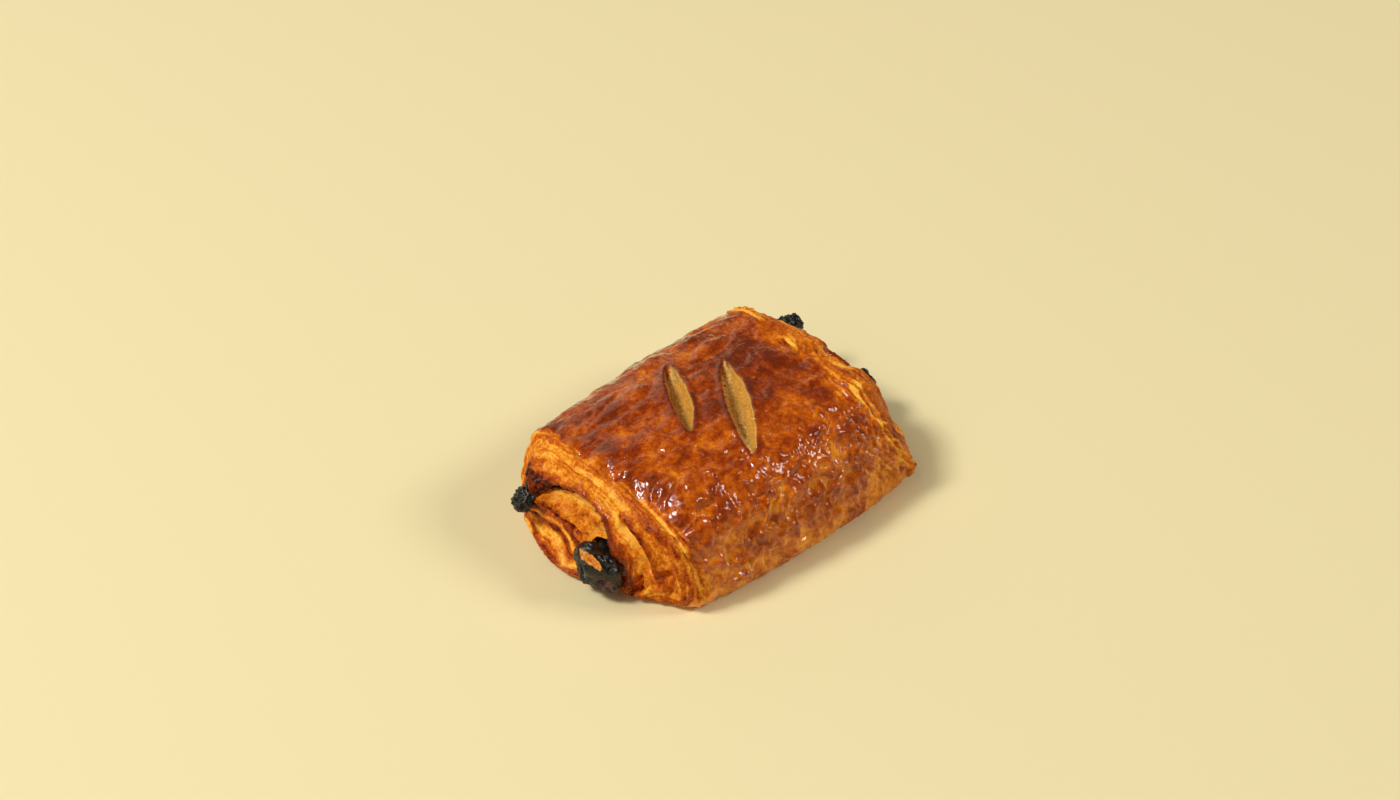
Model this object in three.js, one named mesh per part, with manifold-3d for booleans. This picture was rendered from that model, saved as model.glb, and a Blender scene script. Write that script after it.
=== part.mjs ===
// A pain au chocolat: one piece of laminated dough, rolled round two sticks of chocolate and baked.
// Units are millimetres. +X runs along the roll, +Y across it towards the lobe that holds the rear stick,
// and +Z is up. The origin is on the plane that the pastry rests on, under the middle of the whole piece.
import * as THREE from "three";
import { LoftGeometry } from "three/addons/geometries/LoftGeometry.js";
import { mergeVertices } from "three/addons/utils/BufferGeometryUtils.js";
import Module from "manifold-3d";

// Driving dimensions.
const ROLL_WIDTH = 75; // across the two lobes: the rims below are shares of half of it
const ROLL_HEIGHT = 35; // at the middle of the roll: the rims are shares of it
const CROWN = 0.1; // how much taller the middle is than the ends, as a share
const BARREL = 0.07; // how much further the front stands out at the middle than at the ends, as a share
const NEAR_NOSE = -49.5; // x of the middle of the near end
const FAR_NOSE = 49.5; // and of the far end
const NEAR_FULLNESS = 2.4; // how squarely the near end bulges: 2 is a round dome, more is flatter
const FAR_FULLNESS = 3.4; // the same at the far end
const FOOT = 2; // how far the bottom edges of the ends turn up from the plate
const STICK_GAP = 0.35; // between a stick and the dough round it

// Fineness of the mesh.
const RING_POINTS = 64;
const SKIN_RINGS = 12;
const END_RINGS = 8;
const STICK_POINTS = 20;

const half = ROLL_WIDTH / 2;
const high = ROLL_HEIGHT;

// The two rims, where the glazed skin stops and the cut, layered end begins. Both start under the middle,
// run to the rear lobe, over the top and down to the front foot, and so they pair up point by point.
// Each entry: [share of the half width, share of the height, x].
const NEAR_RIM = [
  [0.16, 0.05, -55.5],
  [0.53, 0.05, -52.5],
  [0.77, 0.1, -48.5],
  [0.91, 0.28, -45],
  [0.94, 0.5, -41.5],
  [0.9, 0.72, -38.2],
  [0.7, 0.83, -39],
  [0.36, 0.9, -41.5],
  [0, 0.92, -42.2],
  [-0.31, 0.875, -42.5],
  [-0.58, 0.81, -43],
  [-0.745, 0.7, -42.6],
  [-0.82, 0.55, -41.8],
  [-0.855, 0.4, -40.6],
  [-0.865, 0.16, -39.6],
  [-0.8, 0.05, -39.8],
  [-0.56, 0.05, -45.5],
  [-0.32, 0.05, -49.5],
];
const FAR_RIM = [
  [0.16, 0.05, 44],
  [0.53, 0.05, 43.5],
  [0.79, 0.1, 42.5],
  [0.95, 0.28, 41.5],
  [0.97, 0.52, 40],
  [0.9, 0.75, 38.7],
  [0.62, 0.87, 38],
  [0.18, 0.92, 35.5],
  [-0.16, 0.93, 34.8],
  [-0.46, 0.92, 33.8],
  [-0.66, 0.86, 33.5],
  [-0.78, 0.74, 33.7],
  [-0.86, 0.58, 34.8],
  [-0.9, 0.42, 38.2],
  [-0.915, 0.16, 43.2],
  [-0.88, 0.05, 43],
  [-0.56, 0.04, 43],
  [-0.28, 0.05, 44],
];
const POLE_Y = 4; // the middle of an end, across the roll
const POLE_Z = 13; // and above the plate

// Each stick: the ends of its middle line, its section, and the knob that its near end has melted into, as
// shares of the section.
const STICKS = {
  front: { near: [-56, -6, 8.6], far: [55.5, -4.5, 12.5], wide: 8.4, tall: 7.5, knob: [1.42, 1.55] },
  rear: { near: [-55, 24, 14], far: [55.5, 23.5, 18], wide: 7.4, tall: 6.6, knob: [0.95, 0.95] },
};

// Two slashes in the top: the middle of each on the crust, its length, width, depth and turn about Z in degrees.
const SLASHES = [
  { middle: [-7.5, 8.7, 33.6], length: 32, width: 5.2, depth: 4, turn: 58 },
  { middle: [1.8, -5.2, 34.5], length: 39, width: 6.6, depth: 4.5, turn: 57 },
];

// The gap between the outer wrap and the rolled core, and the one inside the core, as paths across the
// roll [y, z], and how far they run in from an end.
const GAP_WIDE = 1.6;
const GAP_DEEP = 11;
const GAP_REACH = 5; // how far outside the end a slot starts, so that it cuts the end right through
const GAP_TIP = 0.25; // the width of a slot where it starts, as a share of GAP_WIDE
const OUTER_GAP = [
  [27, 16],
  [20.5, 19.5],
  [13, 23],
  [5, 24.3],
  [-1, 23.5],
  [-5.5, 21],
  [-9, 16],
  [-12, 9],
  [-16, 2],
  [-17.5, -2],
];
const INNER_GAP = [
  [19, 13],
  [11, 13],
  [3, 12],
];
// The seam underneath, where the end of the sheet meets the bottom. It is cut from end to end.
const SEAM_WIDE = 2;
const SEAM_TALL = 1.6;
const SEAM_LONG = 2.2 * FAR_NOSE;

const wasm = await Module();
wasm.setup();

// A three.js geometry as a manifold-3d solid, placed by an optional matrix.
function solidOf(geometry, matrix = new THREE.Matrix4()) {
  const plain = new THREE.BufferGeometry();
  plain.setAttribute("position", geometry.getAttribute("position").clone());
  if (geometry.index) plain.setIndex(geometry.index.clone());
  const merged = mergeVertices(plain.applyMatrix4(matrix), 1e-4);
  // Where a ring closes on one point there are triangles with two equal corners. They are left out.
  const corners = merged.index.array;
  const kept = [];
  for (let i = 0; i < corners.length; i += 3) {
    const [a, b, c] = corners.slice(i, i + 3);
    if (a !== b && b !== c && c !== a) kept.push(a, b, c);
  }
  return new wasm.Manifold(
    new wasm.Mesh({
      numProp: 3,
      vertProperties: merged.attributes.position.array,
      triVerts: new Uint32Array(kept),
    }),
  );
}

// The solid's triangles as a named three.js mesh.
function meshOf(solid, name, material) {
  const made = solid.getMesh();
  const geometry = new THREE.BufferGeometry();
  geometry.setAttribute("position", new THREE.BufferAttribute(made.vertProperties, 3));
  geometry.setIndex(new THREE.BufferAttribute(made.triVerts, 1));
  geometry.computeVertexNormals();
  const mesh = new THREE.Mesh(geometry, material);
  mesh.name = name;
  return mesh;
}

// A rim as evenly spaced points.
function rimPoints(rim) {
  const points = rim.map(([y, z, x]) => new THREE.Vector3(x, y * half, z * high));
  const curve = new THREE.CatmullRomCurve3(points, true, "centripetal");
  return Array.from({ length: RING_POINTS }, (_, i) => curve.getPoint(i / RING_POINTS));
}

// The glazed skin between the rims as rings: crowned, a little barrelled, and flat where it rests.
function skinRings(near, far) {
  return Array.from({ length: SKIN_RINGS + 1 }, (_, k) => {
    const t = k / SKIN_RINGS;
    const swell = Math.sin(Math.PI * t);
    const sink = FOOT * (1 - (2 * t - 1) ** 8);
    return near.map((p, i) => {
      const q = p.clone().lerp(far[i], t);
      return new THREE.Vector3(
        q.x,
        q.y * (q.y < 0 ? 1 + BARREL * swell : 1),
        Math.max(0, q.z * (1 + CROWN * swell) - sink * (1 - q.z / high)),
      );
    });
  });
}

// The rings of one end, from its nose, where they close on one point, out to its rim.
function endRings(edge, nose, fullness) {
  return Array.from({ length: END_RINGS }, (_, k) => {
    const r = k / END_RINGS;
    const out = 1 - r ** fullness;
    return edge.map(
      (p) =>
        new THREE.Vector3(
          p.x + (nose - p.x) * out,
          POLE_Y + (p.y - POLE_Y) * r,
          POLE_Z + (p.z - POLE_Z) * r,
        ),
    );
  });
}

// The roll of dough, from one end over its skin to the other, before anything is cut into it.
function rollSolid() {
  const near = rimPoints(NEAR_RIM);
  const far = rimPoints(FAR_RIM);
  const sections = [
    ...endRings(near, NEAR_NOSE, NEAR_FULLNESS),
    ...skinRings(near, far),
    ...endRings(far, FAR_NOSE, FAR_FULLNESS).reverse(),
  ];
  return solidOf(new LoftGeometry(sections));
}

// A stick of chocolate: a rounded bar whose near end is melted into a knob. grow adds to it all round.
function stickSolid({ near, far, wide, tall, knob }, grow = 0) {
  const [start, end] = [new THREE.Vector3(...near), new THREE.Vector3(...far)];
  // [share of the length, share of the knob, size]: both ends are rounded, and the middle is the plain bar.
  const profile = [
    [0, 1, 0.5],
    [0.012, 1, 0.82],
    [0.04, 1, 1],
    [0.07, 0.9, 1],
    [0.1, 0.3, 1],
    [0.13, 0, 1],
    [0.5, 0, 0.96],
    [0.88, 0, 1],
    [0.96, 0, 1.04],
    [0.988, 0, 0.85],
    [1, 0, 0.5],
  ];
  const axis = end.clone().sub(start).normalize();
  const sections = profile.map(([share, swollen, size], k) => {
    const [w, h] = [wide, tall].map((s, i) => (s / 2) * size * (1 + (knob[i] - 1) * swollen));
    const middle = start.clone().lerp(end, share);
    if (k === 0) middle.addScaledVector(axis, -grow);
    if (k === profile.length - 1) middle.addScaledVector(axis, grow);
    return Array.from({ length: STICK_POINTS }, (_, i) => {
      const a = (i / STICK_POINTS) * 2 * Math.PI;
      const square = (s) => Math.sign(s) * Math.abs(s) ** 0.7;
      const y = w * square(Math.cos(a)) + grow * Math.cos(a);
      const z = h * square(Math.sin(a)) + grow * Math.sin(a);
      return middle.clone().add(new THREE.Vector3(0, y, z));
    });
  });
  return solidOf(new LoftGeometry(sections, { capStart: true, capEnd: true }));
}

// A lens-shaped slash, let into the top of the roll.
function slashSolid({ middle, length, width, depth, turn }) {
  const lens = new THREE.SphereGeometry(0.5, 24, 12);
  const matrix = new THREE.Matrix4().compose(
    new THREE.Vector3(...middle),
    new THREE.Quaternion().setFromEuler(new THREE.Euler(0, 0, THREE.MathUtils.degToRad(turn))),
    new THREE.Vector3(length, width, 2 * depth),
  );
  return solidOf(lens, matrix);
}

// A slot that follows a path across the roll, cut in from one end.
function gapSolid(path, from, to) {
  const line = new THREE.SplineCurve(path.map(([y, z]) => new THREE.Vector2(y, z)));
  const steps = 3 * path.length;
  const sides = [[], []];
  for (let i = 0; i <= steps; i++) {
    const t = i / steps;
    const p = line.getPoint(t);
    const across = line.getTangent(t).rotateAround(new THREE.Vector2(), Math.PI / 2);
    const wide = GAP_WIDE * Math.min(1, GAP_TIP + 6 * t);
    sides[0].push(p.clone().addScaledVector(across, wide / 2));
    sides[1].unshift(p.clone().addScaledVector(across, -wide / 2));
  }
  const slot = new THREE.ExtrudeGeometry(new THREE.Shape([...sides[0], ...sides[1]]), {
    depth: to - from,
    bevelEnabled: false,
  });
  // The shape's own x, y and depth become Y, Z and X.
  const turned = new THREE.Matrix4().makeBasis(
    new THREE.Vector3(0, 1, 0),
    new THREE.Vector3(0, 0, 1),
    new THREE.Vector3(1, 0, 0),
  );
  return solidOf(slot, turned.setPosition(from, 0, 0));
}

// The seam underneath: a rod of elliptical section, half of it inside the roll, where the outer gap comes out.
function seamSolid() {
  const [y] = OUTER_GAP[OUTER_GAP.length - 1];
  const rod = new THREE.CylinderGeometry(0.5, 0.5, SEAM_LONG, 12);
  const matrix = new THREE.Matrix4().compose(
    new THREE.Vector3(0, y, 0),
    new THREE.Quaternion().setFromEuler(new THREE.Euler(0, 0, Math.PI / 2)),
    new THREE.Vector3(SEAM_WIDE, 1, 2 * SEAM_TALL),
  );
  return solidOf(rod, matrix);
}

let pastry = rollSolid();
for (const slash of SLASHES) pastry = pastry.subtract(slashSolid(slash));
for (const path of [OUTER_GAP, INNER_GAP]) {
  pastry = pastry.subtract(gapSolid(path, NEAR_NOSE - GAP_REACH, NEAR_NOSE + GAP_DEEP));
  pastry = pastry.subtract(gapSolid(path, FAR_NOSE - GAP_DEEP, FAR_NOSE + GAP_REACH));
}
pastry = pastry.subtract(seamSolid());
for (const stick of Object.values(STICKS)) pastry = pastry.subtract(stickSolid(stick, STICK_GAP));

const crust = new THREE.MeshStandardMaterial({ color: 0xb5611f, roughness: 0.35, metalness: 0 });
const chocolate = new THREE.MeshStandardMaterial({ color: 0x1d1512, roughness: 0.45, metalness: 0 });

const group = new THREE.Group();
group.add(meshOf(pastry, "pastry", crust));
group.add(meshOf(stickSolid(STICKS.front), "chocolate_stick_front", chocolate));
group.add(meshOf(stickSolid(STICKS.rear), "chocolate_stick_rear", chocolate));

// The origin goes under the middle of the whole piece, on the plane it rests on.
const box = new THREE.Box3().setFromObject(group);
const middle = box.getCenter(new THREE.Vector3());
group.position.set(-middle.x, -middle.y, -box.min.z);

export default group;
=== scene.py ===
# %% [markdown]
# # A pain au chocolat
# A rectangle of laminated dough is rolled round two sticks of dark chocolate, brushed with egg, slashed
# twice and baked. The parts to make are the baked dough, the two sticks, and one flake of crust that has
# stuck to the melted chocolate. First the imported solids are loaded. They are the frame: the dough and the
# sticks are sculpted from copies of them, and they are never moved.
# %% Load the frame
import math

import bpy
import numpy as np
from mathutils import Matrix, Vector


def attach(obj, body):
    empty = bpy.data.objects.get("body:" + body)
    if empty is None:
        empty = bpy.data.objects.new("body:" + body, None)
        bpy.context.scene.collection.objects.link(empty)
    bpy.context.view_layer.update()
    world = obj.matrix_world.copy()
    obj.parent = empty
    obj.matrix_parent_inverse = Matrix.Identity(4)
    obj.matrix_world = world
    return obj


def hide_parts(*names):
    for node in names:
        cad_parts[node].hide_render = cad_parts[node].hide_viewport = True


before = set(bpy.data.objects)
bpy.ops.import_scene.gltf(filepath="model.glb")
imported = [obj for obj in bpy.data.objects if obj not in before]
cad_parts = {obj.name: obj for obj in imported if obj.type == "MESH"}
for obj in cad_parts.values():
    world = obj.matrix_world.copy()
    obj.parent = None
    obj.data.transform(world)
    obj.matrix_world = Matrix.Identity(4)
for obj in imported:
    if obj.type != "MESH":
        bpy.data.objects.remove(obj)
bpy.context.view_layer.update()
MM = 0.001
LOWEST = 0.02  # mm: no point of the dough may lie lower, or it would sink into the table
print("solids:", sorted(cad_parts))

# %% [markdown]
# Blender's operators act on whatever is selected, so each step starts by selecting one object and nothing
# else. Sculpting is done on arrays of points, in millimetres, because that is how a baker would measure
# it. These helpers select, apply modifiers, and move points in and out of a mesh.
# %% Helpers for objects and points
def select_only(piece):
    if bpy.context.object and bpy.context.object.mode != "OBJECT":
        bpy.ops.object.mode_set(mode="OBJECT")
    bpy.ops.object.select_all(action="DESELECT")
    piece.select_set(True)
    bpy.context.view_layer.objects.active = piece


def apply_modifiers(piece):
    select_only(piece)
    for modifier in list(piece.modifiers):
        bpy.ops.object.modifier_apply(modifier=modifier.name)


def copy_of_solid(node, name):
    """A merged copy of a solid: its triangles are loose, and the copy joins them into one skin."""
    piece = bpy.data.objects.new(name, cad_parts[node].data.copy())
    bpy.context.scene.collection.objects.link(piece)
    piece.data.materials.clear()
    select_only(piece)
    bpy.ops.object.mode_set(mode="EDIT")
    bpy.ops.mesh.select_all(action="SELECT")
    bpy.ops.mesh.remove_doubles(threshold=1e-6)
    bpy.ops.object.mode_set(mode="OBJECT")
    return piece


def get_points(piece):
    points = np.empty(len(piece.data.vertices) * 3, np.float32)
    piece.data.vertices.foreach_get("co", points)
    return points.reshape(-1, 3).astype(float) / MM


def set_points(piece, points):
    piece.data.vertices.foreach_set("co", (points * MM).astype(np.float32).ravel())
    piece.data.update()


def get_normals(piece):
    normals = np.empty(len(piece.data.vertices) * 3, np.float32)
    piece.data.vertex_normals.foreach_get("vector", normals)
    return normals.reshape(-1, 3).astype(float)


def paint(piece, name, values):
    """Stores one number, or one vector, for each point, for the material to read."""
    values = np.asarray(values, np.float32)
    kind, key = ("FLOAT", "value") if values.ndim == 1 else ("FLOAT_VECTOR", "vector")
    layer = piece.data.attributes.new(name, kind, "POINT")
    layer.data.foreach_set(key, values.ravel())


# %% [markdown]
# Baked dough is irregular at every scale, from the swell of the whole loaf to blisters of a millimetre.
# Gradient noise gives that: smooth random bumps of one size. Adding it to itself at half the size and
# half the height gives rougher noise, and folding it at zero gives puffs with creases between them, like
# blistered crust.
# %% Noise to sculpt with
def noise(points, seed):
    """Smooth random bumps, about -1 to 1, one bump for each unit of points."""
    random = np.random.default_rng(seed)
    slopes = random.normal(size=(256, 3))
    slopes /= np.linalg.norm(slopes, axis=1, keepdims=True)
    shuffled = random.permutation(256)
    cell = np.floor(points).astype(int)
    inside = points - cell
    ease = inside**3 * (inside * (inside * 6 - 15) + 10)
    total = np.zeros(len(points))
    for corner in np.ndindex(2, 2, 2):
        at = cell + corner
        pick = shuffled[at[:, 0] & 255]
        pick = shuffled[(pick + at[:, 1]) & 255]
        pick = shuffled[(pick + at[:, 2]) & 255]
        share = np.where(corner, ease, 1 - ease).prod(1)
        total += share * ((inside - corner) * slopes[pick]).sum(1)
    return total * 1.7


def rough(points, seed, octaves=3):
    return sum(noise(points * 2**k, seed + k) / 2**k for k in range(octaves))


def puffs(points, seed):
    """Rounded bumps with sharp creases between them, 0 in the crease and about 1 on top."""
    return np.abs(noise(points, seed)) ** 0.8


def blot(points, middle, size):
    """A soft round patch seen from above, 1 in the middle."""
    return np.exp(-(((points[:, :2] - middle) / size) ** 2).sum(1))


def ease(start, end, values):
    """0 before start, 1 after end, and a smooth slope between. start may be the larger one."""
    t = np.clip((values - start) / (end - start), 0, 1)
    return t * t * (3 - 2 * t)


sample = np.random.default_rng(1).uniform(0, 50, (20000, 3))
print("noise spans", noise(sample, 1).min().round(2), "to", noise(sample, 1).max().round(2))

# %% [markdown]
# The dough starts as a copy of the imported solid. That solid has straight channels for the sticks and deep
# slots between the rolls of dough, and inside the loaf nobody sees them, so a plain block is joined on to
# fill the middle. A voxel remesh then wraps both in one even skin of small squares. Modelling the skin
# from a primitive would mean fitting it to the solid by eye, and a remesh keeps the fit for free.
# %% Remesh the roll
VOXEL = 0.475
FILLING = ((-44.0, 42.0), (-21.0, 28.0), (1.8, 26.0))  # mm: along, across and up

dough = copy_of_solid("pastry", "baked_dough")
bpy.ops.object.select_all(action="DESELECT")
bpy.ops.mesh.primitive_cube_add(
    size=1,
    location=[sum(span) / 2 * MM for span in FILLING],
    scale=[(span[1] - span[0]) * MM for span in FILLING],
)
filling = bpy.context.object
bpy.ops.object.transform_apply(location=True, rotation=True, scale=True)
dough.select_set(True)
filling.select_set(True)
bpy.context.view_layer.objects.active = dough
bpy.ops.object.join()
remesh = dough.modifiers.new("even skin", "REMESH")
remesh.mode = "VOXEL"
remesh.voxel_size = VOXEL * MM
apply_modifiers(dough)
print("skin of", len(dough.data.polygons), "squares")

# %% [markdown]
# The two rims are where the glazed skin stops and the cut, layered end begins. They are the same lines
# that the solid was lofted between: each point is [share of the half width, share of the height, x]. Seen
# along the roll, every point of the dough has an angle about the middle of the end, and a radius that is
# 1 on the rim. That one number says whether a point is skin or cut end.
# %% Where skin ends and cut ends begin
HALF_WIDTH, HEIGHT = 37.5, 35.0
ROLL_AT = np.array([0.25, -0.3, 0.0])  # mm: the rims' own zero, seen from the origin
MIDDLE = np.array([4.0, 13.0])  # across and up: the middle of an end
NEAR_RIM = [
    (0.16, 0.05, -55.5), (0.53, 0.05, -52.5), (0.77, 0.1, -48.5), (0.91, 0.28, -45),
    (0.94, 0.5, -41.5), (0.9, 0.72, -38.2), (0.7, 0.83, -39), (0.36, 0.9, -41.5),
    (0, 0.92, -42.2), (-0.31, 0.875, -42.5), (-0.58, 0.81, -43), (-0.745, 0.7, -42.6),
    (-0.82, 0.55, -41.8), (-0.855, 0.4, -40.6), (-0.865, 0.16, -39.6), (-0.8, 0.05, -39.8),
    (-0.56, 0.05, -45.5), (-0.32, 0.05, -49.5),
]
FAR_RIM = [
    (0.16, 0.05, 44), (0.53, 0.05, 43.5), (0.79, 0.1, 42.5), (0.95, 0.28, 41.5),
    (0.97, 0.52, 40), (0.9, 0.75, 38.7), (0.62, 0.87, 38), (0.18, 0.92, 35.5),
    (-0.16, 0.93, 34.8), (-0.46, 0.92, 33.8), (-0.66, 0.86, 33.5), (-0.78, 0.74, 33.7),
    (-0.86, 0.58, 34.8), (-0.9, 0.42, 38.2), (-0.915, 0.16, 43.2), (-0.88, 0.05, 43),
    (-0.56, 0.04, 43), (-0.28, 0.05, 44),
]


class Rim:
    def __init__(self, rows):
        rows = np.array(rows)
        self.line = rows[:, :2] * (HALF_WIDTH, HEIGHT)
        out = self.line - MIDDLE
        self.angle = np.arctan2(out[:, 1], out[:, 0])
        self.radius = np.linalg.norm(out, axis=1)
        self.x = rows[:, 2]

    def at(self, points):
        """Share of the rim's radius, and the rim's x, at each point's own angle."""
        out = points[:, 1:] - MIDDLE
        angle = np.arctan2(out[:, 1], out[:, 0])
        radius = np.interp(angle, *self.in_order(self.radius), period=2 * math.pi)
        x = np.interp(angle, *self.in_order(self.x), period=2 * math.pi)
        return np.linalg.norm(out, axis=1) / radius, x

    def in_order(self, values):
        order = np.argsort(self.angle)
        return self.angle[order], values[order]


near_rim, far_rim = Rim(NEAR_RIM), Rim(FAR_RIM)


def zones(points):
    """How much each point belongs to the near end, the far end, and the skin between them."""
    wander = 0.012 * noise(points / 5, 21)
    r_near, _ = near_rim.at(points)
    r_far, _ = far_rim.at(points)
    near = ease(0.99, 0.955, r_near + wander) * ease(-30, -34, points[:, 0])
    far = ease(0.99, 0.955, r_far + wander) * ease(27, 31, points[:, 0])
    return near, far, 1 - near - far


roll = get_points(dough) - ROLL_AT
near, far, skin = zones(roll)
print("points on the near end, far end and skin:", [int((z > 0.5).sum()) for z in (near, far, skin)])

# %% [markdown]
# The solid's skin is made of flat strips, a few millimetres wide, and a glazed crust would show each one
# as a facet. A Smooth modifier, weighted to the skin alone, rounds them off and leaves the slots between
# the layers as sharp as they are.
# %% Smooth the strips away
group = dough.vertex_groups.new(name="skin")
for level in range(1, 11):
    chosen = np.nonzero((skin * 10).round().astype(int) == level)[0]
    group.add(chosen.tolist(), level / 10, "REPLACE")
smooth = dough.modifiers.new("round off", "SMOOTH")
smooth.factor = 0.6
smooth.iterations = 30
smooth.vertex_group = "skin"
soften = dough.modifiers.new("soften all", "SMOOTH")
soften.factor = 0.5
soften.iterations = 2
apply_modifiers(dough)
dough.vertex_groups.clear()
roll = get_points(dough) - ROLL_AT
normals = get_normals(dough)
print("height after smoothing:", roll[:, 2].max().round(2), "mm")

# %% [markdown]
# Each end shows the roll cut across. One thick band of dough runs up the front, over the top, round the
# rear stick and back underneath. Inside it a tongue of dough lies over the front stick. These lines part
# them, as [across, up] in millimetres: the lip is the inner edge of the band over the tongue, and the
# shelf is the edge below it.
# %% Lines that part the layers
LIP = np.array([
    (27.5, 15.5), (20.5, 19.5), (14.5, 22.0), (9, 23.6), (4, 24.0), (-1, 23.4),
    (-5.5, 21.3), (-9, 17), (-11.5, 12.5), (-13, 8), (-16, 2.5), (-17.5, -1),
])
SHELF = np.array([
    (27.5, 13.5), (24, 12.5), (17, 14.6), (11.5, 14.4), (7.5, 12.4), (4, 10.5), (-2, 10.8), (-8, 12),
])
LAYERS = 7.0  # how many sheets show across the band
FAR_SHEETS = 40  # added to the far end's sheet numbers, so that the two ends tear differently


def distance_to(line, points, closed=False):
    """Shortest distance from each point (across, up) to a line of points."""
    ends = np.roll(line, -1, axis=0) if closed else line[1:]
    starts = line if closed else line[:-1]
    best = np.full(len(points), np.inf)
    for a, b in zip(starts, ends):
        along = np.clip(((points - a) @ (b - a)) / ((b - a) @ (b - a)), 0, 1)
        best = np.minimum(best, np.linalg.norm(points - a - along[:, None] * (b - a), axis=1))
    return best


def inside(line, points):
    """True where a point (across, up) is inside a closed line."""
    hit = np.zeros(len(points), bool)
    for (ay, az), (by, bz) in zip(line, np.roll(line, -1, axis=0)):
        crosses = (az > points[:, 1]) != (bz > points[:, 1])
        hit ^= crosses & (points[:, 0] < (by - ay) * (points[:, 1] - az) / (bz - az + 1e-12) + ay)
    return hit


def layering(points, rim):
    """For each point: 1 on the tongue, its place across the sheets, and how far the lip and shelf are."""
    flat = points[:, 1:] + 0.5 * np.stack([noise(points / 4, 31), noise(points / 4, 32)], 1)
    tongue = inside(np.vstack([LIP[:9], SHELF[::-1]]), flat).astype(float)
    to_rim = distance_to(rim.line, flat, closed=True)
    to_lip = distance_to(LIP, flat)
    to_shelf = distance_to(SHELF, flat)
    inner = np.minimum(to_lip, to_shelf)
    band = to_rim / (to_rim + inner + 0.01)
    fold = to_lip / (to_lip + to_shelf + 0.01)
    across = np.where(tongue > 0.5, LAYERS + 2 + 4 * fold, LAYERS * band)
    return np.stack([tongue, across, to_lip, to_shelf])


layers_near, layers_far = layering(roll, near_rim), layering(roll, far_rim)
layers_far[1] += FAR_SHEETS
tongue, across, to_lip, to_shelf = np.where(roll[:, 0] > 0, layers_far, layers_near)
ends = near + far
print("points on the tongues:", int((tongue * ends > 0.5).sum()))

# %% [markdown]
# The ends are sculpted by pushing points out of or into the loaf. Here push says how far, in millimetres.
# Every sheet of dough ends at its own depth and has a rounded, torn edge. The lip stands proud and curls
# over the tongue, and the tongue lies back. On the near end a crescent has opened between two sheets of
# the front leg.
# %% Sculpt the cut ends
CRESCENT = np.array([(-11.4, 23.2), (-14.2, 22.0), (-16.8, 19.9), (-18.8, 16.8), (-20.0, 13.0)])
BROW = np.array([(-9.5, 26.3), (-13, 25.8), (-16.5, 24.2), (-19.5, 21.4), (-21.5, 17.0), (-22.5, 12.0)])
PITS = np.array([
    (-16.8, 8.0), (-16.9, 5.0), (-25.0, 13.5), (-25.2, 7.5), (21.5, 17.6), (25.5, 15.2), (17, 20.6),
])
STUB = (24.5, 15.0)  # across and up: the middle of the rear stick's near end

drift = 0.5 * rough(roll / 10, 41, 2)
sheets = across + drift
which = np.floor(sheets)
edge = np.abs(np.sin(np.pi * sheets)) ** 0.6
step = noise(np.stack([which * 7.3, roll[:, 1] / 16, roll[:, 2] / 16], 1), 43)
fray = rough(np.stack([sheets * 2.0, roll[:, 1] / 8, roll[:, 2] / 8], 1), 45)
band = 1 - tongue
push = (0.3 * (edge - 0.6) + 0.55 * step) * (0.3 + 0.7 * band) + 0.1 * fray
push += 0.32 * puffs(roll / (3.0, 3.4, 3.4), 44) + (0.16 + 0.2 * tongue) * rough(roll / 1.5, 46, 2)
lip = band * np.exp(-((to_lip / 1.9) ** 2)) * ease(-1, 6, roll[:, 2]) * ease(26, 18, roll[:, 1])
push += 2.0 * lip
push -= tongue * ease(0.0, 2.2, to_lip) * ease(-0.5, 6.0, to_shelf) * (2.6 + 0.6 * rough(roll / 3.2, 48, 2))
print("lip stands out by up to", (2.0 * lip * ends).max().round(2), "mm")

# %% [markdown]
# Then come the things that happen in one place only: the crescent and the proud brow above it, the pits,
# the collar of dough that has swollen round the rear stick's stub, and the ridges that the sheets leave
# in the front leg. The top of the far end is pressed back, most over its middle.
# %% Sculpt the crescent, the pits and the front leg
flat = roll[:, 1:]
to_crescent = distance_to(CRESCENT, flat)
crescent = near * ease(2.3, 0.6, to_crescent)
push -= 2.6 * crescent
brow = near * np.exp(-((distance_to(BROW, flat) / 0.9) ** 2))
push += 1.2 * brow
pits = np.zeros(len(roll))
for pit in PITS:
    wide = 1.5 + 0.4 * noise(roll / 2, 47)
    hole = near * ease(1.0, 0.4, np.linalg.norm((flat - pit) / (wide[:, None] * (1.0, 1.35)), axis=1))
    pits = np.maximum(pits, hole)
push -= 3.0 * pits
push += 0.5 * rough(roll / 9, 49, 2)
from_stub = flat - STUB
collar = near * np.exp(-(((np.linalg.norm(from_stub, axis=1) - 5.5) / 3.2) ** 2))
collar = collar * ease(-9, -3, from_stub.sum(1))
push += collar * ease(33, 25, roll[:, 1]) * (4.2 + 0.9 * rough(roll / 1.8, 69, 2))
push -= 0.9 * near * ease(24, 31, roll[:, 1]) * ease(6, 12, roll[:, 2])
leg = ends * ease(-7, -13, roll[:, 1])
strands = np.sin(2 * np.pi * (1.2 * sheets + 0.3 * noise(roll / 5, 66)))
push += 0.32 * leg * strands
push += far * ease(10, 18, roll[:, 2]) * (0.9 * (edge - 0.5) - 1.5)
push -= 1.6 * far * ease(9, 3, np.abs(roll[:, 1] + 3)) * ease(12, 18, roll[:, 2])
outward = np.where(roll[:, :1] > 0, 1.0, -1.0) * np.array([[1.0, 0, 0]])
direction = 0.55 * outward + 0.45 * normals
direction /= np.linalg.norm(direction, axis=1, keepdims=True)
clear = ease(0.8, 3.5, roll[:, 2])
print("ends pushed between", push[ends > 0.5].min().round(2), "and", push[ends > 0.5].max().round(2), "mm")
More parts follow.
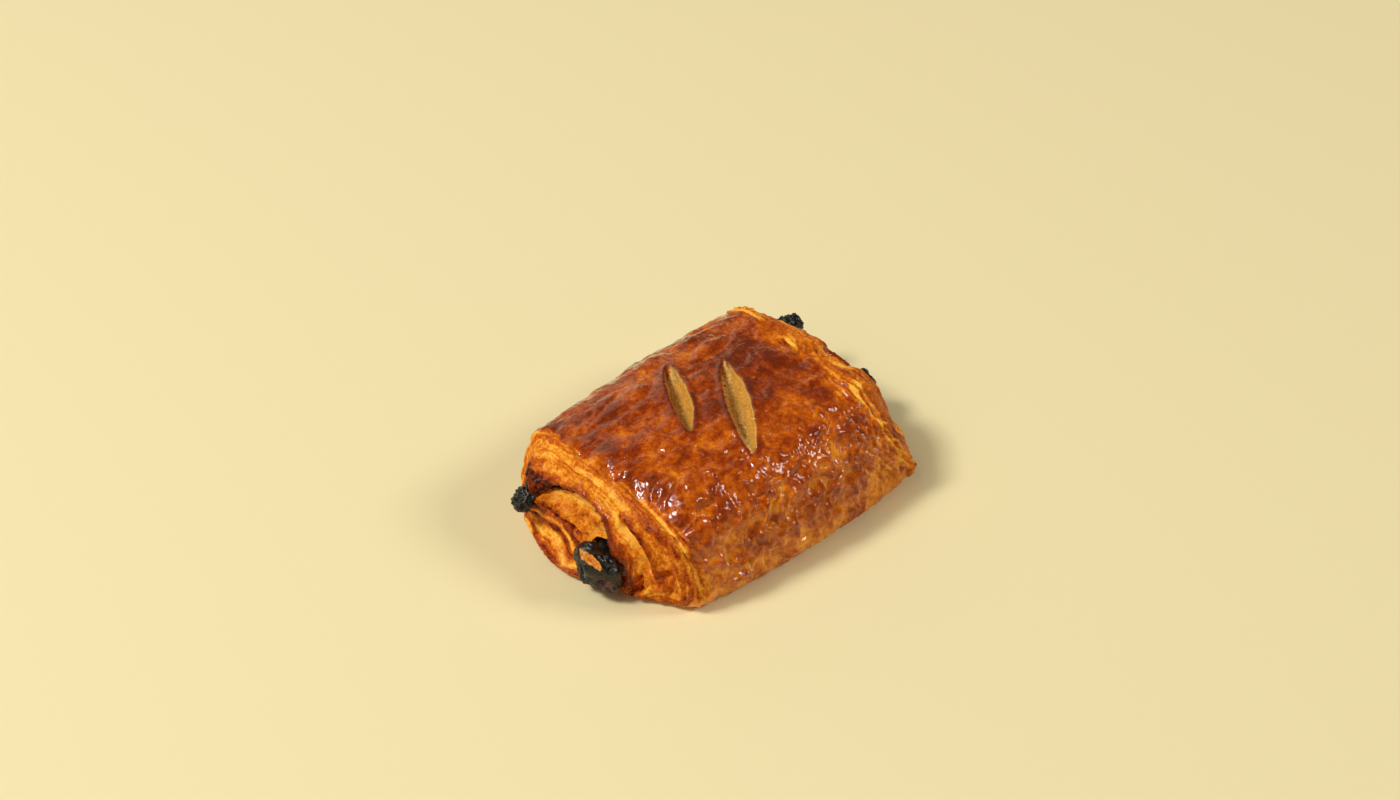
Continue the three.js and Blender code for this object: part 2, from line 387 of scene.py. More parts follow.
end_move = direction * (push * ends * (0.35 + 0.65 * clear))[:, None]

# %% [markdown]
# The glazed skin puffs up in the oven and wrinkles as it cools: broad swells, long soft folds along the
# roll, and small blisters, wrinkles and pimples that are deepest on the front. At the near rim the skin
# rolls down over a rounded shoulder. Near the far rim the sheets have slipped, so the skin is ruffled in
# ridges that follow the rim. Each line of height is one of these, in millimetres, and the underside stays
# nearly flat.
# %% Sculpt the crust
warp = np.stack([rough(roll / 10, seed, 2) for seed in (51, 52, 53)], 1)
bent = roll + 2.6 * warp
front = ease(12, -26, roll[:, 1]) * ease(33, 20, roll[:, 2])
low_front = ease(-8, -24, roll[:, 1]) * ease(30, 16, roll[:, 2])
crown = ease(22, 30, roll[:, 2]) * ease(-14, -2, roll[:, 1])
folds = (1 - crown) * puffs(bent / (11, 5.5, 5.5), 54) + crown * puffs(bent / (15, 8, 8), 65)
blisters = rough(bent / 3.4, 55, 2)
wrinkles = np.clip(1 - np.abs(noise(bent / (3.4, 8, 8), 64)), 0, 1) ** 2.5
pimples = rough(bent / 1.6, 56, 2)
swell = rough(roll / (18, 14, 14), 57, 2)
_, rim_x = far_rim.at(roll)
_, near_x = near_rim.at(roll)
to_far = rim_x - roll[:, 0]
to_near = roll[:, 0] - near_x
brink = ease(12, 5, to_near) * ease(8, 20, roll[:, 2])
bare_width = 1.0 + 3.0 * ease(-3, -17, roll[:, 1])
reach = 7 + 5 * front
ruffle_zone = ease(reach + 3, reach - 3, to_far + 4 * noise(roll / 9, 58)) * ease(1.5, 6, roll[:, 2])
ledge_at = to_far / 2.1 + 0.6 * warp[:, 0] + 0.6 * noise(roll / 6, 59)
ledges = (ledge_at - np.floor(ledge_at)) ** 1.6 * ease(1.0, 0.85, ledge_at - np.floor(ledge_at))
roll_off = ease(6.0 + bare_width, bare_width - 2.0, to_near) ** 1.3
height = (
    0.8 * swell
    + (1.4 - 0.5 * front) * (folds - 0.45)
    + (0.38 + 0.5 * front - 0.18 * crown) * blisters * (1 - 0.4 * brink)
    + (0.45 + 0.55 * front + 0.9 * low_front - 0.3 * crown) * (wrinkles - 0.5) * (1 - 0.4 * brink)
    + (0.08 + 0.08 * front - 0.03 * crown) * pimples
    - 2.4 * roll_off * ease(3, 10, roll[:, 2]) * ease(33, 26, roll[:, 1])
    + 1.2 * ruffle_zone * (ledges - 0.4)
)
under = ease(2.2, 0.8, roll[:, 2]) * ease(-0.2, -0.7, normals[:, 2])
height = height * (1 - 0.85 * under) * (0.4 + 0.6 * ease(1, 6, roll[:, 2]))
print("crust height in mm, 5th to 95th share:", np.percentile(height[skin > 0.9], [5, 95]).round(2))

# %% [markdown]
# Two slashes were cut through the glazed skin before baking. The dough below rose through them, so each
# is a shallow lens of pale crumb, fibrous along its length, between rims that curl up. Each one is
# described by its middle, its length, its width, its turn, and how much darker its upper tip is
# painted.
# %% Sculpt the slashes
SLASHES = [  # middle (x, y), length, width, turn in degrees, how much darker the upper tip is painted
    ((-7.5, 8.7), 32.0, 5.2, 58.0, 1.0),
    ((1.8, -5.2), 39.0, 6.6, 57.0, 0.3),
]
crumb = np.zeros(len(roll))
calm = np.zeros(len(roll))
rim_lift = np.zeros(len(roll))
trench = np.zeros(len(roll))
fibres = np.zeros(len(roll))
crumb_light_side = np.zeros(len(roll))
overhang_shade_and_bake = np.zeros(len(roll))
wall = np.zeros(len(roll))
top = ease(24, 28, roll[:, 2])
for (mx, my), length, width, turn, tip_darkening in SLASHES:
    way = np.array([math.cos(math.radians(turn)), math.sin(math.radians(turn))])
    from_middle = roll[:, :2] - (mx, my)
    along = from_middle @ way / (length / 2)
    beside = from_middle @ np.array([way[1], -way[0]])
    beside = beside + 0.2 * noise(roll / 3, 61)
    lens = np.clip(1 - along**2, 0, 1) ** 0.7 * width / 2
    gap = np.abs(beside) - lens
    ragged = gap + (0.2 + 0.5 * ease(0.3, -0.3, beside)) * rough(roll / 1.4, 67, 2)
    within = (np.abs(along) < 1) * top
    calm = np.maximum(calm, ease(1.2, 0.9, np.abs(along)) * ease(2.2, 0.4, gap) * top)
    crumb = np.maximum(crumb, within * ease(0.1, -0.5, ragged))
    trench = np.maximum(trench, within * ease(0.2, -1.6, gap))
    closeness = ease(1.15, 0.85, np.abs(along)) * top
    rim_lift = np.maximum(rim_lift, closeness * np.exp(-(((gap - 0.7) / 0.8) ** 2)))
    # Beside each slash the crust is painted darker: partly painted shade under the overhanging edge, partly
    # darker-baked crust.
    overhang_shade_and_bake = np.maximum(overhang_shade_and_bake, closeness * np.exp(-(((gap - 0.5) / 1.2) ** 2)))
    wall = np.maximum(wall, ease(0.6, 0.3, gap) * (beside > 0) * ease(1.0, 0.8, np.abs(along)) * top)
    strands = rough(np.stack([beside * 1.1, along * 2.2, roll[:, 2] * 0.2], 1), 62)
    fibres = np.where(within * ease(0.6, 0.3, gap) > 0.2, strands, fibres)
    # A number runs across each slash from one rim to the other, and the finish turns it into painted light
    # and shade on the crumb: a shaded edge under the overhang, a paler lit wall, a darker shaded middle and
    # a bright lit rim.
    across_slash = beside / (lens + 0.5) - tip_darkening * ease(0.5, 1.0, along)
    crumb_light_side = np.where(within * ease(1.6, 1.5, gap) > 0, across_slash, crumb_light_side)
height = height * (1 - 0.75 * calm) + 0.7 * rim_lift
lift = np.zeros_like(roll)
lift[:, 2] = 0.3 * trench + 0.25 * crumb * fibres + 0.3 * crumb * rough(roll / 1.5, 68, 2)
print("points in the slashes:", int((crumb > 0.5).sum()))

shaped = roll + normals * (height * skin)[:, None] + end_move + lift
shaped[:, 2] = np.maximum(shaped[:, 2], LOWEST + 0.1 * (1 + noise(roll / 4, 63)) * (1 - under))
set_points(dough, shaped + ROLL_AT)
settle = dough.modifiers.new("settle", "SMOOTH")
settle.factor = 0.35
settle.iterations = 1
apply_modifiers(dough)
print("roll now spans, in mm:", np.ptp(get_points(dough), axis=0).round(1))

# %% [markdown]
# The finish needs to know what each point is: how much it is glazed skin, how much it is crumb, and how
# dark it is painted. That darkness is mostly how dark it has baked, with painted shadow added where the
# lip overhangs the tongue and painted shade beside the slashes. The egg wash stops short of both rims, so
# a bare, unglazed strip runs along each, widest on the near end's front. Thin, proud edges bake darkest,
# the shoulder bakes darker than the crown, and hollows and the foot of the loaf stay pale.
# %% Paint the zones on the dough
burnt = np.exp(-(((flat - (24, 20)) / (4.5, 2.6)) ** 2).sum(1)) * near
to_edge = np.where(roll[:, 0] < 0, to_near, to_far)
edge_width = np.where(roll[:, 0] < 0, bare_width, 3.2)
ragged_edge = to_edge + 1.3 * noise(roll / 4, 75)
bare = skin * ease(edge_width + 0.6, edge_width - 0.6, ragged_edge) * ease(2, 6, roll[:, 2])
glazed_skin = (skin - bare) * (1 - crumb) * (1 - 0.9 * under)
glazed_lip = ends * np.clip(1.1 * lip - 1.6 * collar - burnt, 0, 0.9) * ease(3, 10, roll[:, 2])
glazed = np.maximum(glazed_skin, glazed_lip)
relief = np.clip(height / 1.2, -1, 1)
# Painted shadow: the tongue is painted darker just under the overhanging lip, where shade falls.
painted_lip_shadow = tongue * near * ease(1.9, 0.5, to_lip) * ease(5, 13, roll[:, 1])
low_end = ease(-6, -2, roll[:, 1]) * ease(15, 11, roll[:, 2]) * band
stripes = np.sin(2 * np.pi * (sheets / LAYERS * 2.6 + 0.3 * noise(roll / 8, 72)))
arch = (2 * np.clip(across % FAR_SHEETS / LAYERS, 0, 1) - 1) ** 2
shoulder = ease(15, 4, to_near) * ease(8, 20, roll[:, 2])
foot = ease(15, 3, roll[:, 2])
sheet_bake = 0.45 * (edge - 0.5) + 0.35 * step + 0.4 * fray
seam = tongue * np.exp(-((to_shelf / 1.1) ** 2)) + low_end * np.exp(-((to_shelf / 1.6) ** 2))
bake_end_and_shade = (
    0.2 + 0.2 * sheet_bake + 0.6 * lip + 0.2 * collar - 0.4 * crescent + 0.45 * brow + 0.35 * seam
    - 0.3 * pits * (flat[:, 0] < -20) + 0.28 * low_end + 0.14 * leg * strands + 0.12 * leg + 0.04 * far
    + band * (
        0.26 * (1 - 1.4 * low_end) * arch + (0.08 + 0.26 * low_end) * stripes
        + 0.12 * rough(roll / 5, 73, 2)
    )
    + tongue * (0.28 * ease(1, 6, to_lip) + 0.22 * rough(roll / 3, 74, 3) - 0.05)
)
bake_skin = (
    0.52 + 0.16 * relief + 0.16 * rough(roll / 13, 71, 2) + 0.10 * ease(-10, 18, roll[:, 1])
    + 0.22 * shoulder - 0.16 * low_front - 0.22 * foot + ruffle_zone * (0.08 - 0.4 * ledges)
    + 0.26 * blot(roll, (14, 4), 11) + 0.22 * blot(roll, (17, -6), 9) + 0.16 * blot(roll, (-3, 0), 6)
    + 0.08 * blot(roll, (26, 8), 8) - 0.06 * blot(roll, (8, -18), 11)
)
# Here the painted shadow under the lip is added to the baked colour of the ends.
bake_end_and_shade = np.clip(bake_end_and_shade, 0, 0.8) + 0.8 * burnt + 0.5 * pits * (flat[:, 0] > 10) + 0.8 * painted_lip_shadow
bake_bare = (
    0.3 + 0.22 * np.sin(2.6 * to_edge) + 0.2 * rough(roll / 3, 76, 2)
    + 0.25 * ease(1, 4, to_edge - 0.5 * edge_width)
)
# Here the painted shade and the darker crust beside the slashes are added to the skin.
bake_skin = np.clip(bake_skin + 0.15 * overhang_shade_and_bake, 0, 0.85)
bake_and_shade = np.clip(bake_end_and_shade * ends + bake_skin * (skin - bare) + bake_bare * bare, 0, 1)
print("bake runs from", bake_and_shade.min().round(2), "to", bake_and_shade.max().round(2))

# %% [markdown]
# The streaks need a direction. In the cut ends they follow the sheets, and in the bare strip they follow
# the rim. All of it is then painted on the points under the names that the finish will ask for.
# %% Paint it on
streak = np.stack([np.where(bare > 0.5, -0.8 * to_edge, sheets), roll[:, 1] / 22, roll[:, 2] / 22], 1)
paint(dough, "glazed", glazed)
paint(dough, "crumb", np.maximum(crumb, wall))
paint(dough, "crumb_light_side", crumb_light_side)
paint(dough, "bake_and_shade", bake_and_shade)
paint(dough, "tongue", tongue * ends)
paint(dough, "streak", streak)
print("glazed points:", int((glazed > 0.5).sum()), "of", len(glazed))

# %% [markdown]
# The underside lies on the table, where nobody sees its squares, so a Decimate modifier with a weight on
# the underside thins it out. The rest of the skin keeps its fine mesh. Thinning moves points a little, so
# any that have dipped are lifted back above the table.
# %% Thin the underside
group = dough.vertex_groups.new(name="underside")
group.add(np.nonzero(under > 0.6)[0].tolist(), 1.0, "REPLACE")
thin = dough.modifiers.new("thin out", "DECIMATE")
thin.ratio = 0.7
thin.vertex_group = "underside"
thin.vertex_group_factor = 1.0
apply_modifiers(dough)
dough.vertex_groups.clear()
thinned = get_points(dough)
thinned[:, 2] = np.maximum(thinned[:, 2], LOWEST)
set_points(dough, thinned)
select_only(dough)
bpy.ops.object.shade_smooth()
triangles = sum(len(p.vertices) - 2 for p in dough.data.polygons)
print("baked dough:", triangles, "triangles")

# %% [markdown]
# The sticks are dark baking chocolate. Their ends stood out of the dough and took the full heat: they
# melted, frothed and set again as rough, nearly black lumps with pin holes. Each stick is remeshed from
# its solid, and only about the last centimetre at either end is roughened, because the rest is inside the
# loaf. The painted value "cocoa" marks the low front corner of the near lump, where the froth has dried
# brown.
# %% Sculpt the chocolate
def sculpt_stick(node, name, seed, lumpy, wider, shrink):
    """lumpy: the size of the lumps. wider: the near end's spread. shrink: mm shaved off the far end."""
    stick = copy_of_solid(node, name)
    skin = stick.modifiers.new("even skin", "REMESH")
    skin.mode = "VOXEL"
    skin.voxel_size = 0.34 * MM
    apply_modifiers(stick)
    points = get_points(stick)
    outward = get_normals(stick)
    low, high = points[:, 0].min(), points[:, 0].max()
    melted = ease(low + 14, low + 5, points[:, 0])
    middle = points[points[:, 0] < low + 6].mean(0)
    points[:, 1] += (points[:, 1] - middle[1]) * wider * melted
    shown = melted + ease(high - 12, high - 6, points[:, 0])
    lumps = noise(points / 5.0, seed) * 2.2 * lumpy + rough(points / 2.0, seed + 1) * (0.4 + 0.5 * shrink)
    froth = puffs(points / 1.7, seed + 2) * 0.5
    holes = ease(0.42, 0.72, noise(points / 1.25, seed + 4)) * 0.75
    fine = rough(points / 1.1, seed + 6, 2) * 0.22
    drop = (lumps + froth + fine - holes) * shown - shrink * ease(high - 9, high - 6, points[:, 0])
    points += outward * drop[:, None]
    points[:, 2] = np.maximum(points[:, 2], 0.05)
    set_points(stick, points)
    paint(stick, "cocoa", ease(-0.5, 3.5, middle[1] - points[:, 1]) * ease(3, -1, points[:, 2] - middle[2]))
    select_only(stick)
    bpy.ops.object.shade_smooth()
    print(name, "has", len(stick.data.polygons), "faces")
    return stick


front_stick = sculpt_stick(
    "chocolate_stick_front", "chocolate_front", seed=81, lumpy=1.0, wider=0.28, shrink=0.0
)
rear_stick = sculpt_stick(
    "chocolate_stick_rear", "chocolate_rear", seed=91, lumpy=0.45, wider=0.0, shrink=0.9
)

# %% [markdown]
# One flake of crust has stuck to the melted end of the front stick. It is thin, curled and torn, so it
# starts as a small grid, has its outline pulled into a ragged leaf, is laid on the chocolate, and gets
# its thickness from a Solidify modifier. It must touch the chocolate, so the spot is looked up: the point
# of the stick that lies furthest along one direction from the middle of its melted end.
# %% Make the flake
chocolate_points, chocolate_normals = get_points(front_stick), get_normals(front_stick)
tip = chocolate_points[:, 0] < chocolate_points[:, 0].min() + 7
middle = chocolate_points[tip].mean(0)
look = np.array([-0.63, -0.42, 0.66])
spot = np.argmax(np.where(tip, (chocolate_points - middle) @ look, -99))
round_spot = np.linalg.norm(chocolate_points - chocolate_points[spot], axis=1) < 3
facing = chocolate_normals[tip & round_spot].mean(0)
facing /= np.linalg.norm(facing)
lengthwise = np.array([0.2, -0.85, -0.5])
lengthwise -= facing * (lengthwise @ facing)
lengthwise /= np.linalg.norm(lengthwise)

bpy.ops.object.select_all(action="DESELECT")
bpy.ops.mesh.primitive_grid_add(x_subdivisions=26, y_subdivisions=14, size=1)
flake = bpy.context.object
flake.name = "crust_flake"
leaf = get_points(flake) * MM  # the grid is 1 across, so u and v run from -1 to 1
u, v = leaf[:, 0] * 2, leaf[:, 1] * 2
reach = 1 - 0.7 * np.abs(u) ** 2.2 + 0.35 * rough(np.stack([u * 3.5, np.sign(v), 0 * u], 1), 101)
leaf = np.stack([u * 4.4, v * reach * 1.15 + 0.3 * np.sin(u * 3), 0 * u], 1)
leaf[:, 2] = 0.4 + 0.25 * np.sin(u * 3.4) + 0.5 * (v * reach) ** 2 + 0.6 * noise(leaf / 1.5, 102)
turn_to_spot = np.stack([lengthwise, np.cross(facing, lengthwise), facing])
set_points(flake, leaf @ turn_to_spot + chocolate_points[spot])
shell = flake.modifiers.new("thickness", "SOLIDIFY")
shell.thickness = 0.35 * MM
shell.offset = 0
apply_modifiers(flake)
bpy.ops.object.shade_smooth()
print("flake lies at", chocolate_points[spot].round(1), "mm")
print("flake spans, in mm:", np.ptp(get_points(flake), axis=0).round(1))

# %% [markdown]
# ## Finishes
# Each finish is a tree of nodes. This helper keeps the trees short to write. It adds a node and wires its
# inputs, and it has a short name for each thing that the finishes need: a painted value, a noise pattern,
# a sum, a blend, the bumps, and a ramp, which turns a number into a colour through a few stops.
# %% Helpers for finishes
class Finish:
    def __init__(self, name):
        self.material = bpy.data.materials.new(name)
        self.material.use_nodes = True
        self.tree = self.material.node_tree
        self.tree.nodes.clear()
        self.shader = self.node("ShaderNodeBsdfPrincipled")
        output = self.node("ShaderNodeOutputMaterial")
        self.tree.links.new(self.shader.outputs[0], output.inputs[0])

    def node(self, kind, settings=(), **inputs):
        made = self.tree.nodes.new(kind)
        for key, value in dict(settings).items():
            setattr(made, key, value)
        for key, value in inputs.items():
            self.wire(made, key.replace("_", " "), value)
        return made

    def wire(self, node, socket, value):
        if isinstance(value, bpy.types.NodeSocket):
            self.tree.links.new(value, node.inputs[socket])
        else:
            node.inputs[socket].default_value = value

    def painted(self, name, vector=False):
        node = self.node("ShaderNodeAttribute", {"attribute_name": name})
        return node.outputs["Vector" if vector else "Fac"]

    def place(self, scale):
        """The piece's own coordinates, stretched so that one unit of pattern is 1 / scale metres."""
        where = self.node("ShaderNodeTexCoord").outputs["Object"]
        mapping = self.node("ShaderNodeMapping", Vector=where)
        mapping.inputs["Scale"].default_value = scale
        return mapping.outputs[0]

    def pattern(self, vector, scale, detail=4.0, roughness=0.55, distortion=0.0):
        made = self.node("ShaderNodeTexNoise", Vector=vector)
        made.inputs["Scale"].default_value = scale
        made.inputs["Detail"].default_value = detail
        made.inputs["Roughness"].default_value = roughness
        made.inputs["Distortion"].default_value = distortion
        return made.outputs["Fac"]

    def math(self, operation, a, b=0.0, clamp=False):
        made = self.tree.nodes.new("ShaderNodeMath")
        made.operation, made.use_clamp = operation, clamp
        self.wire(made, 0, a)
        self.wire(made, 1, b)
        return made.outputs[0]

    def ramp(self, value, stops):
        made = self.node("ShaderNodeValToRGB", Fac=value)
        band = made.color_ramp
        while len(band.elements) < len(stops):
            band.elements.new(0.5)
        for element, (at, colour) in zip(band.elements, stops):
            element.position = at
            element.color = (*colour, 1) if len(colour) == 3 else colour
        return made.outputs["Color"]

    def level(self, value, low, high, to_low=0.0, to_high=1.0):
        made = self.tree.nodes.new("ShaderNodeMapRange")
        made.clamp = True
        for socket, number in zip((0, 1, 2, 3, 4), (value, low, high, to_low, to_high)):
            self.wire(made, socket, number)
        return made.outputs[0]

    def blend(self, share, a, b, mode="MIX"):
        made = self.tree.nodes.new("ShaderNodeMix")
        made.data_type, made.blend_type = "RGBA", mode
        self.wire(made, 0, share)
        self.wire(made, 6, a)
        self.wire(made, 7, b)
        return made.outputs[2]

    def bumps(self, layers):
        """Chains bump nodes, each (height, strength, depth in mm), and wires the last to the shader."""
        normal = None
        for height, strength, depth in layers:
            made = self.tree.nodes.new("ShaderNodeBump")
            self.wire(made, "Height", height)
            made.inputs["Strength"].default_value = strength
            made.inputs["Distance"].default_value = depth * MM
            if normal:
                self.wire(made, "Normal", normal)
            normal = made.outputs[0]
        self.wire(self.shader, "Normal", normal)
        self.wire(self.shader, "Coat Normal", normal)


def colour(red, green, blue):
    """A colour as it looks on a screen, 0 to 255, turned into the light values that Blender mixes."""
    shares = [c / 255 for c in (red, green, blue)]
    return tuple(((c + 0.055) / 1.055) ** 2.4 if c * 255 > 10 else c / 12.92 for c in shares)


print("amber in light values:", [round(c, 3) for c in colour(200, 100, 20)])

# %% [markdown]
# The crust is brushed with egg, which bakes to a thin, glossy, amber film over dough that goes from gold
# through orange to mahogany. The colour comes from how dark each point has baked, with painted shadow
# and shade added, disturbed by mottling of three sizes. The cut ends have no glaze, except on the proud
# lip: they are matt, golden, and streaked along the sheets with brown. The crumb in the slashes has
# painted light and shade across it: a paler lit wall, a darker shaded middle, and a bright lit rim.
# %% Finish: baked dough
GOLD, ORANGE = colour(240, 152, 38), colour(206, 104, 14)
AMBER, RUSSET = colour(177, 77, 6), colour(144, 51, 4)
MAHOGANY, BURNT = colour(106, 35, 4), colour(46, 15, 7)
BUTTER, BISCUIT = colour(252, 194, 78), colour(234, 168, 72)
STRAW, OLIVE, BRIGHT = colour(255, 206, 122), colour(196, 144, 62), colour(255, 192, 78)

crust = Finish("glazed laminated crust")
here = crust.place((1000, 1000, 1000))
glaze = crust.painted("glazed")
# This value is the baked colour with painted shadow under the lip and painted shade beside the slashes.
baked_and_shaded = crust.painted("bake_and_shade")
mottle = crust.pattern(here, 0.17, 3, 0.5, 0.5)
speckle = crust.pattern(here, 0.6, 4, 0.55, 0.4)
grain = crust.pattern(here, 3.0, 3, 0.6)
tone = crust.math("ADD", baked_and_shaded, crust.level(mottle, 0.3, 0.7, -0.22, 0.22))
tone = crust.math("ADD", tone, crust.level(speckle, 0.32, 0.68, -0.18, 0.18))
tone = crust.math("ADD", tone, crust.level(grain, 0.3, 0.7, -0.11, 0.11))
skin_colour = crust.ramp(tone, [
    (0.05, GOLD), (0.28, ORANGE), (0.48, AMBER), (0.68, RUSSET), (0.95, MAHOGANY),
])
along_sheets = crust.painted("streak", vector=True)
streaks = crust.pattern(along_sheets, 1.7, 4, 0.6, 0.15)
flecks = crust.pattern(here, 1.3, 4, 0.65, 0.3)
sheet_tone = crust.math("ADD", baked_and_shaded, crust.level(streaks, 0.32, 0.68, -0.16, 0.22))
sheet_tone = crust.math("ADD", sheet_tone, crust.level(speckle, 0.3, 0.7, -0.12, 0.14))
sheet_tone = crust.math("ADD", sheet_tone, crust.level(flecks, 0.32, 0.68, -0.15, 0.18))
sheet_colour = crust.ramp(sheet_tone, [
    (0.06, BUTTER), (0.26, GOLD), (0.46, ORANGE), (0.66, AMBER),
    (0.82, RUSSET), (0.92, MAHOGANY), (1.0, BURNT),
])
tongue_tone = crust.math("ADD", crust.math("ADD", baked_and_shaded, 0.1), crust.level(flecks, 0.32, 0.68, -0.2, 0.25))
tongue_colour = crust.ramp(tongue_tone, [
    (0.1, BUTTER), (0.3, BISCUIT), (0.48, GOLD), (0.72, ORANGE), (0.9, RUSSET), (1.0, BURNT),
])
tongue_share = crust.math("MULTIPLY", crust.painted("tongue"), 0.8)
sheet_colour = crust.blend(tongue_share, sheet_colour, tongue_colour)
# Painted light and shade across the crumb of the slashes, from a shaded edge through a lit wall and a
# shaded middle to a bright lit rim, with real speckles and flecks on top.
crumb_tone_and_light = crust.math("ADD", crust.painted("crumb_light_side"), crust.level(speckle, 0.3, 0.7, -0.12, 0.12))
crumb_tone_and_light = crust.math("ADD", crumb_tone_and_light, crust.level(flecks, 0.35, 0.65, -0.4, 0.4))
crumb_colour = crust.ramp(crust.level(crumb_tone_and_light, -1.2, 1.2), [
    (0.06, RUSSET), (0.16, AMBER), (0.26, BISCUIT), (0.4, STRAW),
    (0.62, OLIVE), (0.8, BISCUIT), (0.9, BRIGHT),
])
mixed = crust.blend(glaze, sheet_colour, skin_colour)
mixed = crust.blend(crust.painted("crumb"), mixed, crumb_colour)
crust.wire(crust.shader, "Base Color", mixed)
gloss_patch = crust.pattern(here, 0.3, 3, 0.5, 0.2)
skin_rough = crust.level(gloss_patch, 0.35, 0.7, 0.05, 0.19)
crust.wire(crust.shader, "Roughness", crust.blend(glaze, (0.42, 0.42, 0.42, 1), skin_rough))
crust.wire(crust.shader, "Coat Weight", glaze)
crust.shader.inputs["Coat IOR"].default_value = 1.4
crust.shader.inputs["Coat Roughness"].default_value = 0.04
crust.shader.inputs["Subsurface Weight"].default_value = 0.1
crust.shader.inputs["Subsurface Radius"].default_value = (1.0, 0.35, 0.1)
crust.shader.inputs["Subsurface Scale"].default_value = 1.5 * MM
crust.shader.inputs["Specular IOR Level"].default_value = 0.12
crust.shader.inputs["IOR"].default_value = 1.5
crumbs = crust.math("MULTIPLY", crust.painted("crumb"), crust.pattern(here, 1.6, 3, 0.65))
crust.bumps([
    (streaks, 0.2, 0.3),
    (crumbs, 0.9, 0.9),
    (crust.pattern(here, 0.7, 2, 0.45, 0.3), 0.45, 0.6),
    (crust.pattern(here, 3.2, 2, 0.5), 0.12, 0.1),
])
dough.data.materials.append(crust.material)
print(crust.material.name, "has", len(crust.tree.nodes), "nodes")

# %% [markdown]
# Melted and burnt chocolate is almost black. Where it ran it set glossy, where it frothed it is matt and
# brown with cocoa, and the pin holes are dull. Gloss and colour follow the same patches.
# %% Finish: baked chocolate
chocolate = Finish("baked dark chocolate")
here = chocolate.place((1000, 1000, 1000))
patch = chocolate.pattern(here, 0.28, 3, 0.5, 0.4)
grain = chocolate.pattern(here, 1.8, 5, 0.65)
cocoa = chocolate.level(patch, 0.5, 0.75)
cocoa = chocolate.math("ADD", cocoa, chocolate.level(grain, 0.35, 0.7, -0.25, 0.25))
cocoa = chocolate.math("ADD", cocoa, chocolate.math("MULTIPLY", chocolate.painted("cocoa"), 0.6))
chocolate.wire(chocolate.shader, "Base Color", chocolate.ramp(cocoa, [
    (0.2, colour(18, 17, 18)), (0.55, colour(34, 24, 22)), (0.9, colour(92, 58, 48)),
]))
chocolate.wire(chocolate.shader, "Roughness", chocolate.level(cocoa, 0.15, 0.7, 0.08, 0.6))
chocolate.shader.inputs["IOR"].default_value = 1.5
chocolate.bumps([(grain, 0.4, 0.4), (chocolate.pattern(here, 5, 3, 0.6), 0.4, 0.12)])
for stick in (front_stick, rear_stick):
    stick.data.materials.append(chocolate.material)
print(chocolate.material.name, "has", len(chocolate.tree.nodes), "nodes")

# %% [markdown]
# The flake is a scrap of the same glazed skin, thin enough to stay golden, mottled with browner amber.
# %% Finish: crust flake
scrap = Finish("golden crust flake")
here = scrap.place((1000, 1000, 1000))
tint = scrap.pattern(here, 0.9, 4, 0.6)
scrap.wire(scrap.shader, "Base Color", scrap.ramp(tint, [
    (0.32, colour(246, 176, 60)), (0.5, colour(214, 130, 26)), (0.7, AMBER),
]))
scrap.shader.inputs["Roughness"].default_value = 0.32
scrap.bumps([(scrap.pattern(here, 2.5, 3), 0.5, 0.2)])
flake.data.materials.append(scrap.material)
print(scrap.material.name, "has", len(scrap.tree.nodes), "nodes")

# %% [markdown]
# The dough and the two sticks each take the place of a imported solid, and the flake is extra. All four
# ride on the one body of the part.
# %% Join the looks to the frame
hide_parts("pastry")
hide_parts("chocolate_stick_front")
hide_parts("chocolate_stick_rear")
finishes = {dough: "pastry", front_stick: "chocolate", rear_stick: "chocolate", flake: "pastry"}
for piece, slot in finishes.items():
    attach(piece, "root")
    print(piece.name, "rides on root with the finish of", slot)

# %% [markdown]
# ## The studio
# The pastry lies on a plain pale-yellow sheet. Seen from the camera, the key light is a small soft box
# high on the left, which throws a short shadow to the right, and a wider box round it softens that
# shadow. A large warm box low at the back lights the rear of the skin, a weak one at the front left
# lights the cut end, and one on the right puts glints on the crust. A dim, warm dome of light all round
# fills the rest.
# %% Floor and light
bpy.ops.object.select_all(action="DESELECT")
bpy.ops.mesh.primitive_plane_add(size=6, location=(0, 0, -0.0001))
floor = bpy.context.object
floor.name = "paper_sheet"
bpy.ops.object.transform_apply(location=True, rotation=True, scale=True)
sheet = Finish("pale yellow paper")
sheet.shader.inputs["Base Color"].default_value = (*colour(236, 223, 176), 1)
sheet.shader.inputs["Roughness"].default_value = 0.9
sheet.shader.inputs["Specular IOR Level"].default_value = 0.1
floor.data.materials.append(sheet.material)


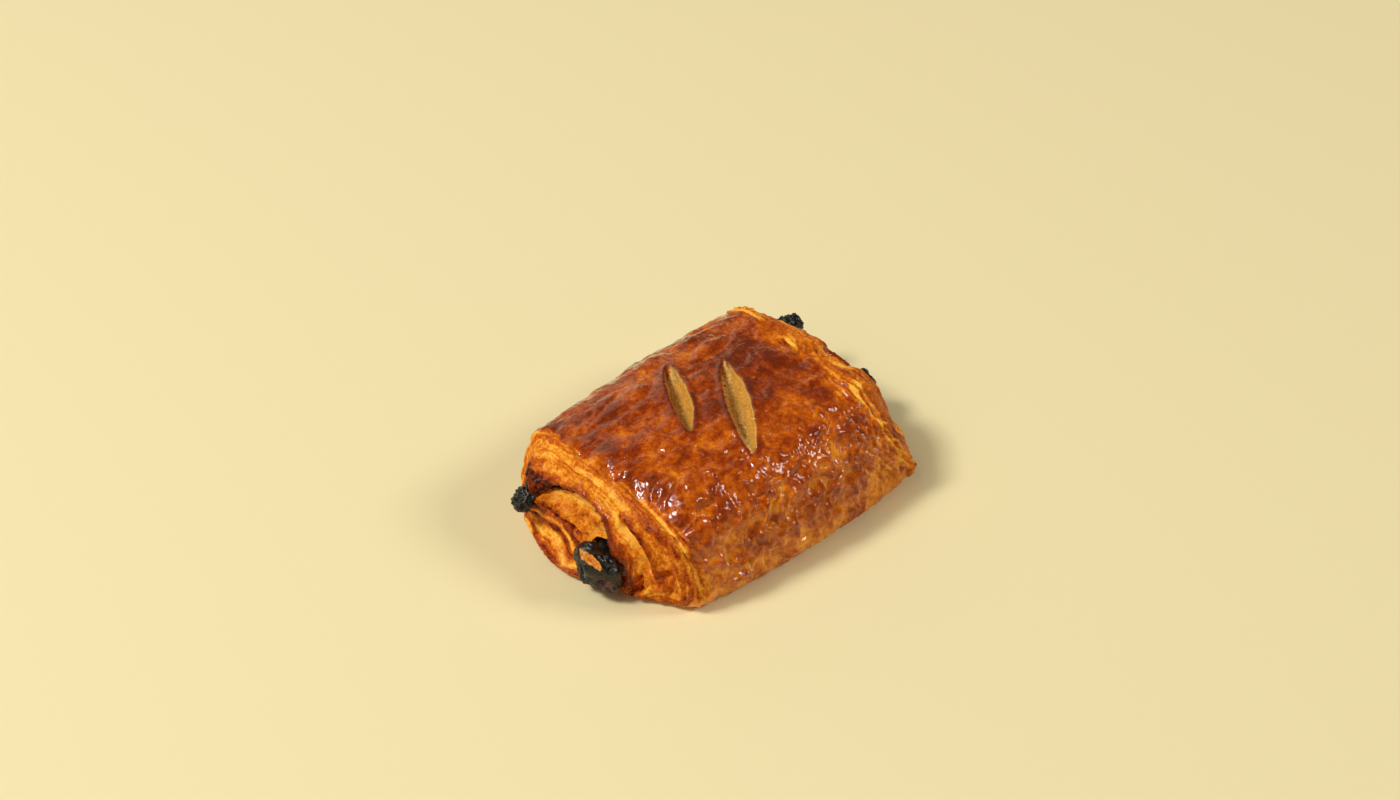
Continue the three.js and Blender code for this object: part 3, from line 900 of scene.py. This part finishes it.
def soft_box(name, azimuth, elevation, distance, size, watts, tint):
    """A square light that faces the pastry from a direction given like the camera's."""
    a, e = math.radians(azimuth), math.radians(elevation)
    away = Vector((math.sin(a) * math.cos(e), -math.cos(a) * math.cos(e), math.sin(e)))
    bpy.ops.object.light_add(type="AREA", location=away * distance)
    light = bpy.context.object
    light.name = name
    light.rotation_euler = away.to_track_quat("Z", "Y").to_euler()
    light.data.size = size
    light.data.energy = watts
    light.data.color = tint
    return light


soft_box("key_box", -117, 52, 2.0, 0.42, 24, (1.0, 0.98, 0.95))
soft_box("key_skirt", -112, 56, 2.2, 1.3, 10, (1.0, 0.94, 0.8))
soft_box("back_wall", 168, 26, 2.6, 2.2, 8, (1.0, 0.86, 0.62))
soft_box("fill_box", -80, 35, 2.4, 1.0, 4, (1.0, 0.93, 0.78))
soft_box("window_box", 43, 38, 2.4, 0.65, 21, (1.0, 0.98, 0.95))
world = bpy.data.worlds.new("studio dome")
bpy.context.scene.world = world
world.use_nodes = True
world.node_tree.nodes["Background"].inputs["Color"].default_value = (1.0, 0.93, 0.76, 1)
world.node_tree.nodes["Background"].inputs["Strength"].default_value = 0.11

# %% [markdown]
# The camera is a long lens about a metre away, looking down at 40 degrees from the front left. Standing
# further off and zooming in keeps the far end from shrinking. It is slid to the left and up, so that the
# pastry sits a little right of the middle and low in the frame.
# %% Camera
AZIMUTH, ELEVATION, DISTANCE = math.radians(-44.0), math.radians(40.0), 1.0
SLIDE_RIGHT, SLIDE_UP = -5.634 * MM, 26.056 * MM
LENS = 91.29

away = Vector((
    math.sin(AZIMUTH) * math.cos(ELEVATION),
    -math.cos(AZIMUTH) * math.cos(ELEVATION),
    math.sin(ELEVATION),
))
right = Vector((math.cos(AZIMUTH), math.sin(AZIMUTH), 0))
stand = Vector(ROLL_AT) * MM + away * DISTANCE
stand = stand + right * SLIDE_RIGHT + away.cross(right) * SLIDE_UP
bpy.ops.object.camera_add(location=stand)
camera = bpy.context.object
camera.rotation_euler = away.to_track_quat("Z", "Y").to_euler()
camera.data.lens = LENS
camera.data.clip_start, camera.data.clip_end = 0.05, 20
bpy.context.scene.camera = camera
bpy.context.scene.view_settings.view_transform = "Standard"
print("camera at", [round(v, 3) for v in camera.location])
